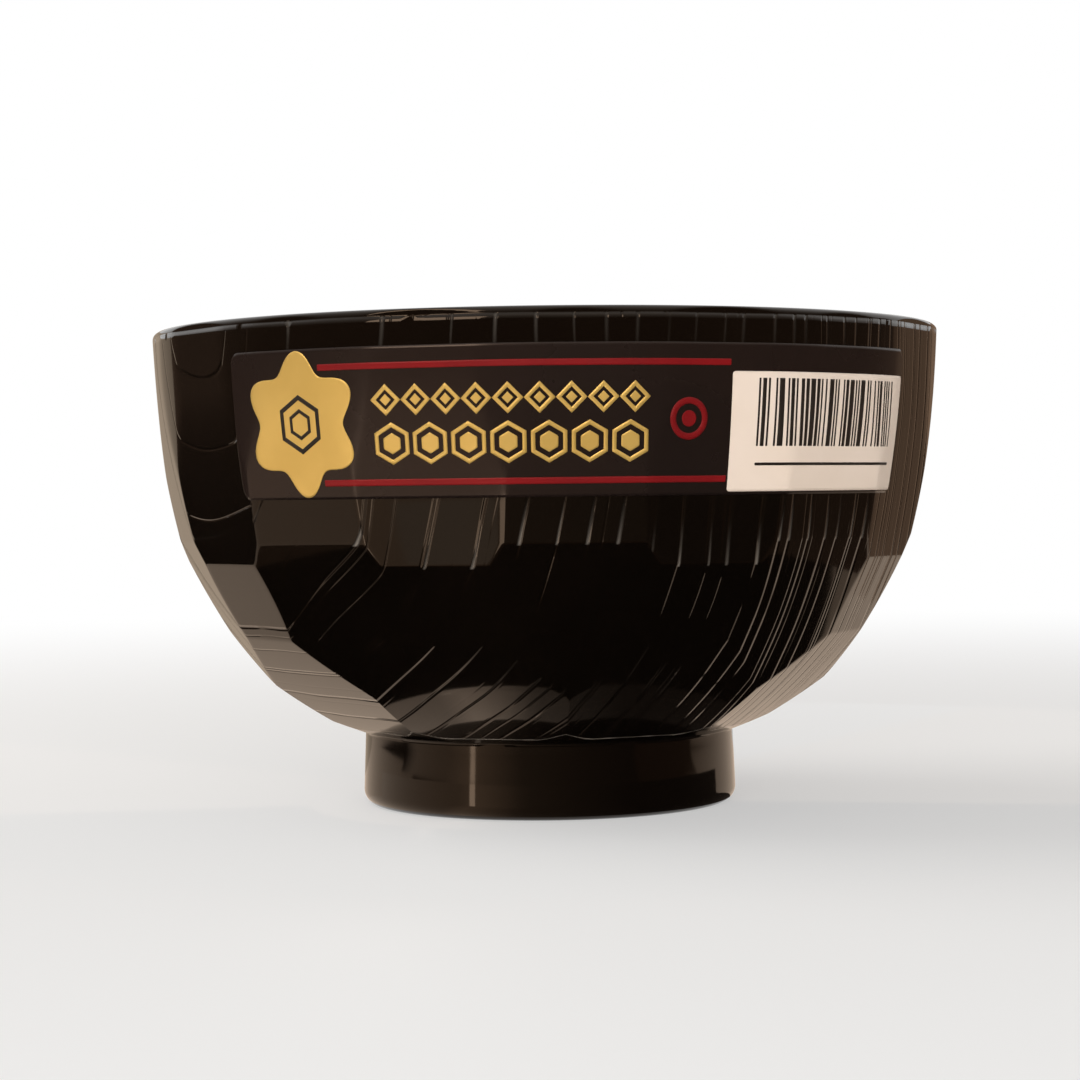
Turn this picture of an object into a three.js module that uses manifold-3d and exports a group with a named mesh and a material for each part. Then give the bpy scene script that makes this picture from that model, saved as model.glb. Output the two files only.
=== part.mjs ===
// Soup bowl moulded in gloss black resin. The outside is planed into tortoise-shell facets that fade out
// below a round rim, the foot ring is plain, and a printed film label is stuck on the front.
// Millimetres, +Z up, the label faces -Y, and the origin is the centre of the foot's base.

import * as THREE from 'three';
import { mergeVertices } from 'three/addons/utils/BufferGeometryUtils.js';
import Module from 'manifold-3d';

const wasm = await Module();
wasm.setup();

// Bowl
const rimDiameter = 110;
const bowlHeight = 66.2;
const lipThickness = 2.4;
const lipEdgeRadius = 1.0;
const wallThickness = 2.8;
const floorThickness = 3.4;
const floorDishRadius = 16;
const floorDishRise = 0.5;

// Foot ring
const footDiameter = 52.6;
const neckDiameter = 52.0;
const footHeight = 10.2;
const footRingWidth = 4.2;
const footEdgeRadius = 2.0;
const recessDepth = 7.2;
const recessFilletRadius = 1.6;

// Turned blank, before the facets are planed: a shallow cone out from the neck, a shoulder and a wall
const undersideDiameter = 76;
const undersideRise = 4.4;
const shoulderDiameter = 105.2;
const shoulderHeight = 38;
const shoulderBulge = 6;
const blankWallBulge = 0.25;

// Facets. High and low columns take turns round the bowl, and each column is one planed profile.
// A radius here is the distance from the axis to a flat, and a bulge is how far a flat swells upright.
const columnPairs = 9;
const facetTurnDegrees = 4;
const highRimDepth = 0.2;
const highCreaseRadius = 50.9;
const highCreaseHeight = 37.4;
const highTipRadius = 37.7;
const highTipHeight = 15.7;
const lowRimDepth = 0.4;
const lowCreaseRadius = 50.2;
const lowCreaseHeight = 34.5;
const kneeRadius = 44.6;
const kneeHeight = 24.5;
const toeOverhang = 1.5;
const toeRise = 0.85;
const upperBulge = 0.85;
const tallBulge = 0.9;
const lowerBulge = 0.7;

// Label. Lengths along it are measured on the rim's circle, from the front.
const labelCentre = 5.8;
const labelWidth = 101.5;
const labelHeight = 18.7;
const labelBelowRim = 4.5;
const labelCornerRadius = 1.5;
const adhesiveGap = 0.1;
const filmThickness = 0.15;

// Printed layers on the label
const inkGap = 0.05;
const inkThickness = 0.06;
const badgeRadius = 8.0;
const badgeLobes = 6;
const badgeLobeDepth = 1.15;
const badgeFromLeft = 11.8;
const panelWidth = 32;
const panelHeight = 14.8;
const panelMargin = 0.4;
const panelCornerRadius = 0.4;
const ruleThickness = 0.8;
const ruleCornerRadius = 0.1;
const upperRuleInset = 2.4;
const lowerRuleInset = 2.0;
const printClearance = 0.3;

// Fineness of the round stretches
const turnSegments = 72;
const arcSteps = 6;
const turnSteps = 2;
const insideSteps = 14;
const badgeStepsPerLobe = 12;

// Places that follow from the sizes above
const rimRadius = rimDiameter / 2;
const neckRadius = neckDiameter / 2;
const footRadius = footDiameter / 2;
const toeRadius = neckRadius + toeOverhang;
const toeHeight = footHeight + toeRise;
const lipRound = Math.min(lipEdgeRadius, lipThickness * 0.45);
const labelTop = bowlHeight - labelBelowRim;
const labelBottom = labelTop - labelHeight;
const labelMiddle = (labelTop + labelBottom) / 2;
const labelLeft = labelCentre - labelWidth / 2;
const labelRight = labelCentre + labelWidth / 2;
const badgeCentre = labelLeft + badgeFromLeft;
const panelRight = labelRight - panelMargin;
const panelLeft = panelRight - panelWidth;
const beyond = rimDiameter + bowlHeight;

function solidOf(geometry) {
  const bare = geometry.clone();
  bare.deleteAttribute('normal');
  bare.deleteAttribute('uv');
  const merged = mergeVertices(bare, 1e-4);
  const corners = merged.index.array;
  const triVerts = [];
  for (let i = 0; i < corners.length; i += 3) {
    const [a, b, c] = corners.subarray(i, i + 3);
    if (a !== b && b !== c && c !== a) triVerts.push(a, b, c);
  }
  return new wasm.Manifold(new wasm.Mesh({
    numProp: 3,
    vertProperties: new Float32Array(merged.attributes.position.array),
    triVerts: new Uint32Array(triVerts),
  }));
}

function meshOf(name, solid, material) {
  const { vertProperties, triVerts } = solid.getMesh();
  const geometry = new THREE.BufferGeometry();
  geometry.setAttribute('position', new THREE.BufferAttribute(vertProperties, 3));
  geometry.setIndex(new THREE.BufferAttribute(triVerts, 1));
  geometry.computeVertexNormals();
  const mesh = new THREE.Mesh(geometry, material);
  mesh.name = name;
  return mesh;
}

// A curve from the path's last point to (x, y) that swells by bulge to the right of its travel.
function bulgeTo(path, x, y, bulge) {
  const from = path.currentPoint;
  const along = new THREE.Vector2(x - from.x, y - from.y).normalize();
  const middleX = (from.x + x) / 2 + 2 * bulge * along.y;
  const middleY = (from.y + y) / 2 - 2 * bulge * along.x;
  path.quadraticCurveTo(middleX, middleY, x, y);
}

// A profile of (radius, height) turned about the upright axis.
function turned(profile) {
  const lathe = new THREE.LatheGeometry(profile.getPoints(turnSteps), turnSegments);
  return solidOf(lathe.rotateX(Math.PI / 2));
}

// The outline of the body's turned blank, grown outwards, with a rounded outer edge to its rim.
function blankProfile(grow) {
  const rim = rimRadius + grow;
  const profile = new THREE.Path();
  profile.moveTo(0, footHeight);
  profile.lineTo(neckRadius, footHeight);
  profile.lineTo(undersideDiameter / 2 + grow, footHeight + undersideRise);
  bulgeTo(profile, shoulderDiameter / 2 + grow, shoulderHeight, shoulderBulge);
  bulgeTo(profile, rim, bowlHeight - lipRound, blankWallBulge);
  profile.absarc(rim - lipRound, bowlHeight - lipRound, lipRound, 0, Math.PI / 2);
  profile.lineTo(0, bowlHeight);
  return profile;
}

// Everything inside one column's flats: its profile, extruded sideways right across the bowl.
function planedColumn(profile, degrees) {
  profile.lineTo(-beyond, beyond);
  profile.lineTo(-beyond, -beyond);
  const prism = new THREE.ExtrudeGeometry(profile, {
    depth: 2 * beyond,
    curveSegments: arcSteps,
    bevelEnabled: false,
  });
  prism.rotateX(Math.PI / 2).translate(0, beyond, 0);
  return solidOf(prism.rotateZ(THREE.MathUtils.degToRad(degrees - 90)));
}

// A high column: an upper flat, then one tall flat that narrows to a tip. Below it runs in at 45 degrees.
function highProfile(grow) {
  const rimFlat = rimRadius - highRimDepth + grow;
  const profile = new THREE.Shape();
  profile.moveTo(highTipRadius + grow - beyond, highTipHeight - beyond);
  profile.lineTo(highTipRadius + grow, highTipHeight);
  bulgeTo(profile, highCreaseRadius + grow, highCreaseHeight, tallBulge);
  bulgeTo(profile, rimFlat, bowlHeight, upperBulge);
  profile.lineTo(rimFlat, beyond);
  return profile;
}

// A low column: an upper flat, a short middle flat and a wide lower flat. Below the toe it runs in flatter.
function lowProfile(grow) {
  const rimFlat = rimRadius - lowRimDepth + grow;
  const profile = new THREE.Shape();
  profile.moveTo(toeRadius + grow - beyond, toeHeight - beyond / 2);
  profile.lineTo(toeRadius + grow, toeHeight);
  bulgeTo(profile, kneeRadius + grow, kneeHeight, lowerBulge);
  profile.lineTo(lowCreaseRadius + grow, lowCreaseHeight);
  bulgeTo(profile, rimFlat, bowlHeight, upperBulge);
  profile.lineTo(rimFlat, beyond);
  return profile;
}

// The outer form of the wall: the blank planed by every column, grown outwards by an offset.
function facetedForm(grow) {
  const pairDegrees = 360 / columnPairs;
  let form = turned(blankProfile(grow));
  for (let pair = 0; pair < columnPairs; pair += 1) {
    const degrees = facetTurnDegrees + pair * pairDegrees;
    form = form.intersect(planedColumn(highProfile(grow), degrees));
    form = form.intersect(planedColumn(lowProfile(grow), degrees + pairDegrees / 2));
  }
  return form;
}

// The foot as a plain disc with a rounded edge to stand on. It reaches up into the body.
function footDisc() {
  const flat = footRadius - footEdgeRadius;
  const profile = new THREE.Path();
  profile.moveTo(0, 0);
  profile.lineTo(flat, 0);
  profile.absarc(flat, footEdgeRadius, footEdgeRadius, -Math.PI / 2, 0);
  profile.lineTo(neckRadius, toeHeight);
  profile.lineTo(0, toeHeight);
  return turned(profile);
}

// The hollow under the floor, inside the foot ring.
function footRecess() {
  const radius = footRadius - footRingWidth;
  const filletHeight = recessDepth - recessFilletRadius;
  const profile = new THREE.Path();
  profile.moveTo(0, -recessDepth);
  profile.lineTo(radius, -recessDepth);
  profile.lineTo(radius, filletHeight);
  profile.absarc(radius - recessFilletRadius, filletHeight, recessFilletRadius, 0, Math.PI / 2);
  profile.lineTo(0, recessDepth);
  return turned(profile);
}

// A profile's radius at a height, read on its rise from below.
function radiusAt(profile, height) {
  const points = profile.getPoints(arcSteps);
  const next = points.findIndex((point) => point.y > height);
  const below = points[next - 1];
  const above = points[next];
  return THREE.MathUtils.mapLinear(height, below.y, above.y, below.x, above.x);
}

// A point of the wall's outside at a height, where it is planed deepest.
function deepestPoint(height) {
  const profiles = [blankProfile(0), highProfile(0), lowProfile(0)];
  const radii = profiles.map((profile) => radiusAt(profile, height));
  return new THREE.Vector2(Math.min(...radii), height);
}

// The inside: a smooth curve that stands the wall's thickness in from the flats at toe, knee and high crease.
function cavity() {
  const floorHeight = recessDepth + floorThickness;
  const mouth = new THREE.Vector2(rimRadius - lipThickness, bowlHeight - lipRound);
  const outside = [
    new THREE.Vector2(0, recessDepth),
    deepestPoint(toeHeight),
    deepestPoint(kneeHeight),
    deepestPoint(highCreaseHeight),
    new THREE.Vector2(rimRadius, bowlHeight),
  ];
  const inside = [
    new THREE.Vector2(0, floorHeight),
    new THREE.Vector2(floorDishRadius, floorHeight + floorDishRise),
  ];
  for (let i = 1; i < outside.length - 1; i += 1) {
    const along = outside[i + 1].clone().sub(outside[i - 1]).normalize();
    const inward = new THREE.Vector2(-along.y, along.x).multiplyScalar(wallThickness);
    inside.push(outside[i].clone().add(inward));
  }
  inside.push(mouth);
  const profile = new THREE.Path(new THREE.SplineCurve(inside).getPoints(insideSteps));
  profile.absarc(mouth.x + lipRound, mouth.y, lipRound, Math.PI, Math.PI / 2, true);
  profile.lineTo(mouth.x + lipRound, beyond);
  profile.lineTo(0, beyond);
  return turned(profile);
}

function bowlBody() {
  return facetedForm(0).add(footDisc()).subtract(footRecess()).subtract(cavity());
}

// An upright rectangle with rounded corners, laid out flat.
function plate(left, right, bottom, top, cornerRadius) {
  const quarter = Math.PI / 2;
  const shape = new THREE.Shape();
  shape.absarc(right - cornerRadius, bottom + cornerRadius, cornerRadius, -quarter, 0);
  shape.absarc(right - cornerRadius, top - cornerRadius, cornerRadius, 0, quarter);
  shape.absarc(left + cornerRadius, top - cornerRadius, cornerRadius, quarter, 2 * quarter);
  shape.absarc(left + cornerRadius, bottom + cornerRadius, cornerRadius, 2 * quarter, 3 * quarter);
  return shape;
}

// A rosette of rounded points, one of them upright, whose radius swings about its mean.
function rosette(grow) {
  const steps = badgeLobes * badgeStepsPerLobe;
  const points = [];
  for (let i = 0; i < steps; i += 1) {
    const turn = (2 * Math.PI * i) / steps;
    const radius = badgeRadius + grow + badgeLobeDepth * Math.cos(badgeLobes * turn);
    const along = badgeCentre - radius * Math.sin(turn);
    points.push(new THREE.Vector2(along, labelMiddle + radius * Math.cos(turn)));
  }
  return new THREE.Shape(points);
}

// A flat outline wrapped round the axis and carried out through the wall, to cut a layer from a shell.
function wrappedCutter(outline) {
  const block = new THREE.ExtrudeGeometry(outline, {
    depth: 1,
    curveSegments: turnSteps,
    bevelEnabled: false,
  });
  const places = block.attributes.position;
  for (let i = 0; i < places.count; i += 1) {
    const angle = places.getX(i) / rimRadius;
    const radius = THREE.MathUtils.lerp(rimRadius / 2, rimRadius * 3, places.getZ(i));
    places.setXYZ(i, radius * Math.sin(angle), -radius * Math.cos(angle), places.getY(i));
  }
  return solidOf(block);
}

// A layer of the label: what an outline cuts from between two offsets of the faceted form.
function layer(cutter, inner, outer) {
  return cutter.intersect(outer).subtract(inner);
}

const filmInner = facetedForm(adhesiveGap);
const filmOuter = facetedForm(adhesiveGap + filmThickness);
const inkInner = facetedForm(adhesiveGap + filmThickness + inkGap);
const inkOuter = facetedForm(adhesiveGap + filmThickness + inkGap + inkThickness);

function labelFilm() {
  const outline = plate(labelLeft, labelRight, labelBottom, labelTop, labelCornerRadius);
  return layer(wrappedCutter(outline), filmInner, filmOuter);
}

function goldBadge() {
  return layer(wrappedCutter(rosette(0)), inkInner, inkOuter);
}

function whitePanel() {
  const bottom = labelBottom + panelMargin;
  const outline = plate(panelLeft, panelRight, bottom, bottom + panelHeight, panelCornerRadius);
  return layer(wrappedCutter(outline), inkInner, inkOuter);
}

// A rule runs from the badge's edge to the panel's left edge.
function redRule(height) {
  const half = ruleThickness / 2;
  const right = panelLeft - printClearance;
  const outline = plate(badgeCentre, right, height - half, height + half, ruleCornerRadius);
  const cutter = wrappedCutter(outline).subtract(wrappedCutter(rosette(printClearance)));
  return layer(cutter, inkInner, inkOuter);
}

const blackResin = new THREE.MeshStandardMaterial({ color: 0x14100e, roughness: 0.12, metalness: 0 });
const blackFilm = new THREE.MeshStandardMaterial({ color: 0x1c1b1f, roughness: 0.35, metalness: 0 });
const goldFoil = new THREE.MeshStandardMaterial({ color: 0xe2be69, roughness: 0.3, metalness: 0.7 });
const whiteInk = new THREE.MeshStandardMaterial({ color: 0xeee2d4, roughness: 0.5, metalness: 0 });
const redInk = new THREE.MeshStandardMaterial({ color: 0xa51923, roughness: 0.4, metalness: 0 });

const soupBowl = new THREE.Group();
soupBowl.add(meshOf('bowl_body', bowlBody(), blackResin));
soupBowl.add(meshOf('label_film', labelFilm(), blackFilm));
soupBowl.add(meshOf('gold_badge', goldBadge(), goldFoil));
soupBowl.add(meshOf('white_panel', whitePanel(), whiteInk));
soupBowl.add(meshOf('upper_rule', redRule(labelTop - upperRuleInset), redInk));
soupBowl.add(meshOf('lower_rule', redRule(labelBottom + lowerRuleInset), redInk));

export default soupBowl;
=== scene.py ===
from math import cos, radians, sin

import bpy
import numpy as np
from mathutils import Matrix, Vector


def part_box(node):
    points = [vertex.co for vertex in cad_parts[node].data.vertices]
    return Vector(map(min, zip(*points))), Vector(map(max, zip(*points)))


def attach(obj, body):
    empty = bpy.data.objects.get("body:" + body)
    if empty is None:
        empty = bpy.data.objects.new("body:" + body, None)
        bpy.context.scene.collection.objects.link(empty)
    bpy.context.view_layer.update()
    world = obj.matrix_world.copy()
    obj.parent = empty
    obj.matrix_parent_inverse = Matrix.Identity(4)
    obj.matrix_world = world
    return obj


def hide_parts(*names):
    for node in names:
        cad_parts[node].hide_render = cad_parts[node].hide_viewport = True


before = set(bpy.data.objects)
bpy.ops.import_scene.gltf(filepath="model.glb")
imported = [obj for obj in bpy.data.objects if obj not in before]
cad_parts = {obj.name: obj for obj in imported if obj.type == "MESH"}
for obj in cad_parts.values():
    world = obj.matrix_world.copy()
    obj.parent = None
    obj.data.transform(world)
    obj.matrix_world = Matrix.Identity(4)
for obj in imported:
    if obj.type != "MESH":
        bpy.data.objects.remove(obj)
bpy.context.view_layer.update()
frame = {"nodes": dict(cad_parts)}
print("frame loaded:", ", ".join(frame["nodes"]))

mm = 0.001  # shapes are worked out in millimetres, and the meshes are in metres
scene = bpy.context.scene
scene.view_settings.view_transform = "Standard"


# Camera: on the label's side, a little above the label's lower edge, rolled a touch to one side
cameraView = dict(place=(0.0, -0.3664, 0.04346), aim=(-0.00092, 0.0, 0.03683), roll=0.674, lens=86.03,
                  sensor=36, clipStart=0.01)


# The turn that points a camera or a lamp from its place at its aim.
def aimed(v):
    return (Vector(v["aim"]) - Vector(v["place"])).to_track_quat("-Z", "Y").to_euler("XYZ")


def addCamera(v):
    data = bpy.data.cameras.new("camera")
    data.sensor_width = v["sensor"]
    data.lens = v["lens"]
    data.clip_start = v["clipStart"]
    camera = bpy.data.objects.new("camera", data)
    scene.collection.objects.link(camera)
    camera.location = v["place"]
    camera.rotation_euler = aimed(v)
    camera.rotation_euler.y += radians(v["roll"])
    scene.camera = camera


addCamera(cameraView)
print("camera in place")


# Mesh helpers

# Quads over a grid of points, row by row. With wrap, the last column joins the first.
def gridFaces(rows, columns, wrap=False):
    row, column = np.meshgrid(np.arange(rows - 1), np.arange(columns if wrap else columns - 1), indexing="ij")
    after = (column + 1) % columns
    start, above = row * columns, (row + 1) * columns
    return np.stack((start + column, start + after, above + after, above + column), axis=-1).reshape(-1, 4)


# Points round the axis, at a radius and a height. Angles run from the front, positive to the right.
def aroundAxis(angle, radius, height):
    places = np.broadcast_arrays(radius * np.sin(angle), -radius * np.cos(angle), height)
    return np.stack(places, axis=-1)


# Values at directions in degrees from the front, between those that a table gives for a few directions.
def sharesAt(directions, table):
    return np.interp(directions, *np.transpose(table))


# A number for each point of a mesh, for its material to read.
def addAttribute(piece, name, values):
    attribute = piece.data.attributes.new(name, "FLOAT", "POINT")
    attribute.data.foreach_set("value", values)


# A smooth-shaded piece at the origin, from points in millimetres.
def addPiece(name, points, faces, material):
    mesh = bpy.data.meshes.new(name)
    mesh.from_pydata((points.reshape(-1, 3) * mm).tolist(), [], faces)
    mesh.polygons.foreach_set("use_smooth", np.ones(len(mesh.polygons), dtype=bool))
    mesh.materials.append(material)
    mesh.update()
    piece = bpy.data.objects.new(name, mesh)
    scene.collection.objects.link(piece)
    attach(piece, "root")
    return piece


# Material helpers

# Adds a node, with its settings, and with its inputs as values or as links from other sockets.
def addNode(tree, kind, inputs=None, **settings):
    node = tree.nodes.new(kind)
    for key, value in settings.items():  # these come first, as a group has its sockets from its tree
        setattr(node, key, value)
    for key, value in (inputs or {}).items():
        if isinstance(value, bpy.types.NodeSocket):
            tree.links.new(value, node.inputs[key])
        else:
            node.inputs[key].default_value = value
    return node


def readAttribute(tree, name):
    return addNode(tree, "ShaderNodeAttribute", attribute_name=name).outputs["Fac"]


def maths(tree, operation, *values):
    return addNode(tree, "ShaderNodeMath", dict(enumerate(values)), operation=operation).outputs[0]


# Maps a value from one span to another, smoothed at both ends.
def ramp(tree, value, low, high, lowOut=0.0, highOut=1.0):
    spans = {"Value": value, "From Min": low, "From Max": high, "To Min": lowOut, "To Max": highOut}
    return addNode(tree, "ShaderNodeMapRange", spans, interpolation_type="SMOOTHSTEP").outputs[0]


def mixColours(tree, factor, first, second):
    mix = addNode(tree, "ShaderNodeMix", {0: factor, 6: first, 7: second}, data_type="RGBA")
    return mix.outputs[2]


def dotProduct(tree, first, second):
    inputs = {0: first, 1: second}
    return addNode(tree, "ShaderNodeVectorMath", inputs, operation="DOT_PRODUCT").outputs["Value"]


def noise(tree, vector, scale, detail=2.0):
    inputs = {"Vector": vector, "Scale": scale, "Detail": detail}
    return addNode(tree, "ShaderNodeTexNoise", inputs).outputs[0]


def newGroup(name, inputs, outputs):
    group = bpy.data.node_groups.new(name, "ShaderNodeTree")
    for label, kind in inputs:
        group.interface.new_socket(label, in_out="INPUT", socket_type=kind)
    for label, kind in outputs:
        group.interface.new_socket(label, in_out="OUTPUT", socket_type=kind)
    return group, group.nodes.new("NodeGroupInput").outputs, group.nodes.new("NodeGroupOutput").inputs


# Wood-grain grooves: the lines in which a stack of upright planes would cut the wall, closer together towards
# one side. Each line is set off a little from its plane, wanders, and comes and goes along its length. A
# groove's width is measured on the surface, so it stays narrow where the wall leans along the planes.
grooveShape = dict(swayScale=0.045, swayDetail=1.0, offset=0.5, leastSquare=0.02, widths=(0.7, 1.2),
                   patchScale=0.11, patchDetail=1.5, patchSpan=(0.36, 0.54), faintest=0.45)


def makeWoodGrooves(v):
    tree, given, put = newGroup(
        "woodGrooves",
        [("Place", "NodeSocketVector"), ("Facing", "NodeSocketVector"), ("Across", "NodeSocketVector"),
         ("Spacing", "NodeSocketFloat"), ("Crowding", "NodeSocketFloat"), ("Width", "NodeSocketFloat"),
         ("Wander", "NodeSocketFloat"), ("Rarity", "NodeSocketFloat"), ("Weakest", "NodeSocketFloat"),
         ("Seed", "NodeSocketFloat")],
        [("Groove", "NodeSocketFloat")])

    sway = maths(tree, "SUBTRACT", noise(tree, given["Place"], v["swayScale"], v["swayDetail"]), 0.5)
    along = dotProduct(tree, given["Place"], given["Across"])
    reach = maths(tree, "ADD", along, maths(tree, "MULTIPLY", sway, given["Wander"]))
    crowd = maths(tree, "MULTIPLY", reach, given["Crowding"])
    bunched = maths(tree, "MULTIPLY", reach, maths(tree, "ADD", crowd, 1.0))
    lane = maths(tree, "DIVIDE", bunched, given["Spacing"])
    crush = maths(tree, "ADD", maths(tree, "MULTIPLY", crowd, 2.0), 1.0)  # the slope of bunched
    pitch = maths(tree, "DIVIDE", given["Spacing"], crush)
    number = maths(tree, "ROUND", lane)
    seeded = maths(tree, "ADD", number, given["Seed"])
    random = addNode(tree, "ShaderNodeTexWhiteNoise", {"W": seeded}, noise_dimensions="1D").outputs["Color"]
    lot = addNode(tree, "ShaderNodeSeparateColor", {0: random}).outputs
    offset = maths(tree, "MULTIPLY", maths(tree, "SUBTRACT", lot[0], 0.5), v["offset"])
    apart = maths(tree, "ABSOLUTE", maths(tree, "SUBTRACT", maths(tree, "SUBTRACT", lane, number), offset))
    lean = dotProduct(tree, given["Facing"], given["Across"])
    square = maths(tree, "SUBTRACT", 1.0, maths(tree, "MULTIPLY", lean, lean))
    sine = maths(tree, "SQRT", maths(tree, "MAXIMUM", square, v["leastSquare"]))
    distance = maths(tree, "DIVIDE", maths(tree, "MULTIPLY", apart, pitch), sine)
    wide = maths(tree, "MULTIPLY", given["Width"], ramp(tree, lot[1], 0.0, 1.0, *v["widths"]))
    line = ramp(tree, distance, 0.0, wide, 1.0, 0.0)
    strength = ramp(tree, lot[2], given["Rarity"], 1.0, given["Weakest"], 1.0)
    cloud = noise(tree, given["Place"], v["patchScale"], v["patchDetail"])
    patches = ramp(tree, cloud, *v["patchSpan"], v["faintest"], 1.0)
    tree.links.new(maths(tree, "MULTIPLY", maths(tree, "MULTIPLY", line, strength), patches), put["Groove"])
    return tree


# Slight unevenness of a finish: a colour that drifts between two, and a roughness between two.
unevenShape = dict(detail=3.0, fineness=14.0, blend=(0.32, 0.68), shares=(0.7, 0.3))


def makeUnevenFinish(v):
    group, given, put = newGroup(
        "unevenFinish",
        [("Place", "NodeSocketVector"), ("Scale", "NodeSocketFloat"), ("Colour A", "NodeSocketColor"),
         ("Colour B", "NodeSocketColor"), ("Roughness A", "NodeSocketFloat"),
         ("Roughness B", "NodeSocketFloat")],
        [("Colour", "NodeSocketColor"), ("Roughness", "NodeSocketFloat"), ("Grain", "NodeSocketFloat")])
    broad = noise(group, given["Place"], given["Scale"], v["detail"])
    fine = noise(group, given["Place"], maths(group, "MULTIPLY", given["Scale"], v["fineness"]))
    blend = ramp(group, broad, *v["blend"])
    group.links.new(mixColours(group, blend, given["Colour A"], given["Colour B"]), put["Colour"])
    broadShare, fineShare = v["shares"]
    broadPart = maths(group, "MULTIPLY", blend, broadShare)
    blotch = maths(group, "ADD", broadPart, maths(group, "MULTIPLY", fine, fineShare))
    spans = {"Value": blotch, "To Min": given["Roughness A"], "To Max": given["Roughness B"]}
    group.links.new(addNode(group, "ShaderNodeMapRange", spans).outputs[0], put["Roughness"])
    group.links.new(fine, put["Grain"])
    return group


woodGrooves = makeWoodGrooves(grooveShape)
unevenFinish = makeUnevenFinish(unevenShape)


def addGrooves(tree, inputs):
    return addNode(tree, "ShaderNodeGroup", inputs, node_tree=woodGrooves).outputs[0]


# A new material: its tree, its shader with a few sockets set, and its place on the object in millimetres.
def newMaterial(name, sockets):
    material = bpy.data.materials.new(name)
    material.use_nodes = True
    tree = material.node_tree
    shader = tree.nodes["Principled BSDF"]
    for key, value in sockets.items():
        shader.inputs[key].default_value = value
    coordinates = addNode(tree, "ShaderNodeTexCoord").outputs["Object"]
    inputs = {0: coordinates, "Scale": 1 / mm}
    place = addNode(tree, "ShaderNodeVectorMath", inputs, operation="SCALE").outputs[0]
    return material, tree, shader, place


# Lays the uneven finish on a shader, and gives its fine grain back for a bump.
def layFinish(tree, shader, place, v):
    first, second = v["colours"]
    smooth, dull = v["roughness"]
    inputs = {"Place": place, "Scale": v["scale"], "Colour A": (*first, 1), "Colour B": (*second, 1),
              "Roughness A": smooth, "Roughness B": dull}
    finish = addNode(tree, "ShaderNodeGroup", inputs, node_tree=unevenFinish)
    tree.links.new(finish.outputs["Colour"], shader.inputs["Base Color"])
    tree.links.new(finish.outputs["Roughness"], shader.inputs["Roughness"])
    return finish.outputs["Grain"]


# A bump from a height in millimetres.
def addBump(tree, shader, height):
    bump = addNode(tree, "ShaderNodeBump", {"Height": height, "Distance": mm, "Strength": 1.0})
    tree.links.new(bump.outputs[0], shader.inputs["Normal"])


# Gloss black resin. Grooves follow the grain attribute, which is 1 on the planed wall and 0 elsewhere. Its
# pale colour is a painted highlight, laid in patches along the facets' lower edge and in the grooves near the
# creases and the lip.
resinFinish = dict(
    colours=((0.0036, 0.0023, 0.0015), (0.0023, 0.0015, 0.0010)), roughness=(0.05, 0.10), scale=0.03,
    ior=1.5, tint=(0.60, 0.46, 0.35), grooveTurn=34.0, wander=1.9, grooveCrowding=0.0045,
    grooves=dict(Spacing=3.0, Width=0.34, Rarity=-0.2, Weakest=0.5, Seed=3.0), grooveDepth=0.145,
    hairs=dict(Spacing=1.8, Width=0.24, Rarity=0.5, Weakest=0.08, Seed=57.0), hairDepth=0.10,
    rings=dict(Spacing=1.39, Width=0.24, Wander=0.6, Rarity=-0.2, Weakest=0.5, Seed=8.0), ringDepth=0.09,
    ringShift=-5.5, ringBow=0.003, ringSpan=(0.95, 0.985), paintedHighlight=(0.52, 0.45, 0.38),
    highlightBreakScale=0.35, highlightBreakSpan=(0.4, 0.6), faintestEdgeHighlight=0.35)


# Painted highlights: the resin is mixed paler along parts of the facets' lower edge, where that edge would
# catch the light, and in the grooves just above the creases half-way up and just below the lip, where their
# glints would be. One attribute for the edge and one for the grooves say how far, from 0 to 1.
def layPaintedHighlights(tree, shader, place, groove, v):
    patches = ramp(tree, noise(tree, place, v["highlightBreakScale"]), *v["highlightBreakSpan"], v["faintestEdgeHighlight"], 1.0)
    edgeHighlight = maths(tree, "MULTIPLY", readAttribute(tree, "edge"), patches)
    paintedHighlight = maths(tree, "MAXIMUM", edgeHighlight, maths(tree, "MULTIPLY", readAttribute(tree, "grooveHighlight"), groove))
    resin = shader.inputs["Base Color"].links[0].from_socket
    tree.links.new(mixColours(tree, paintedHighlight, resin, (*v["paintedHighlight"], 1)), shader.inputs["Base Color"])


# Rings of the grain, for the flats that lie along the planes. Their planes are bowed by the square of the
# distance aside, so that a ring dips in the middle of a flat.
def makeRings(tree, place, facing, across, v):
    aside = dotProduct(tree, place, (-across[1], across[0], 0))
    bow = maths(tree, "MULTIPLY", maths(tree, "MULTIPLY", aside, aside), v["ringBow"])
    shift = {0: across, "Scale": maths(tree, "ADD", bow, v["ringShift"])}
    moved = addNode(tree, "ShaderNodeVectorMath", shift, operation="SCALE").outputs[0]
    bowed = addNode(tree, "ShaderNodeVectorMath", {0: place, 1: moved}, operation="ADD").outputs[0]
    return addGrooves(tree, dict(Place=bowed, Facing=facing, Across=across, Crowding=0.0, **v["rings"]))


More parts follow.
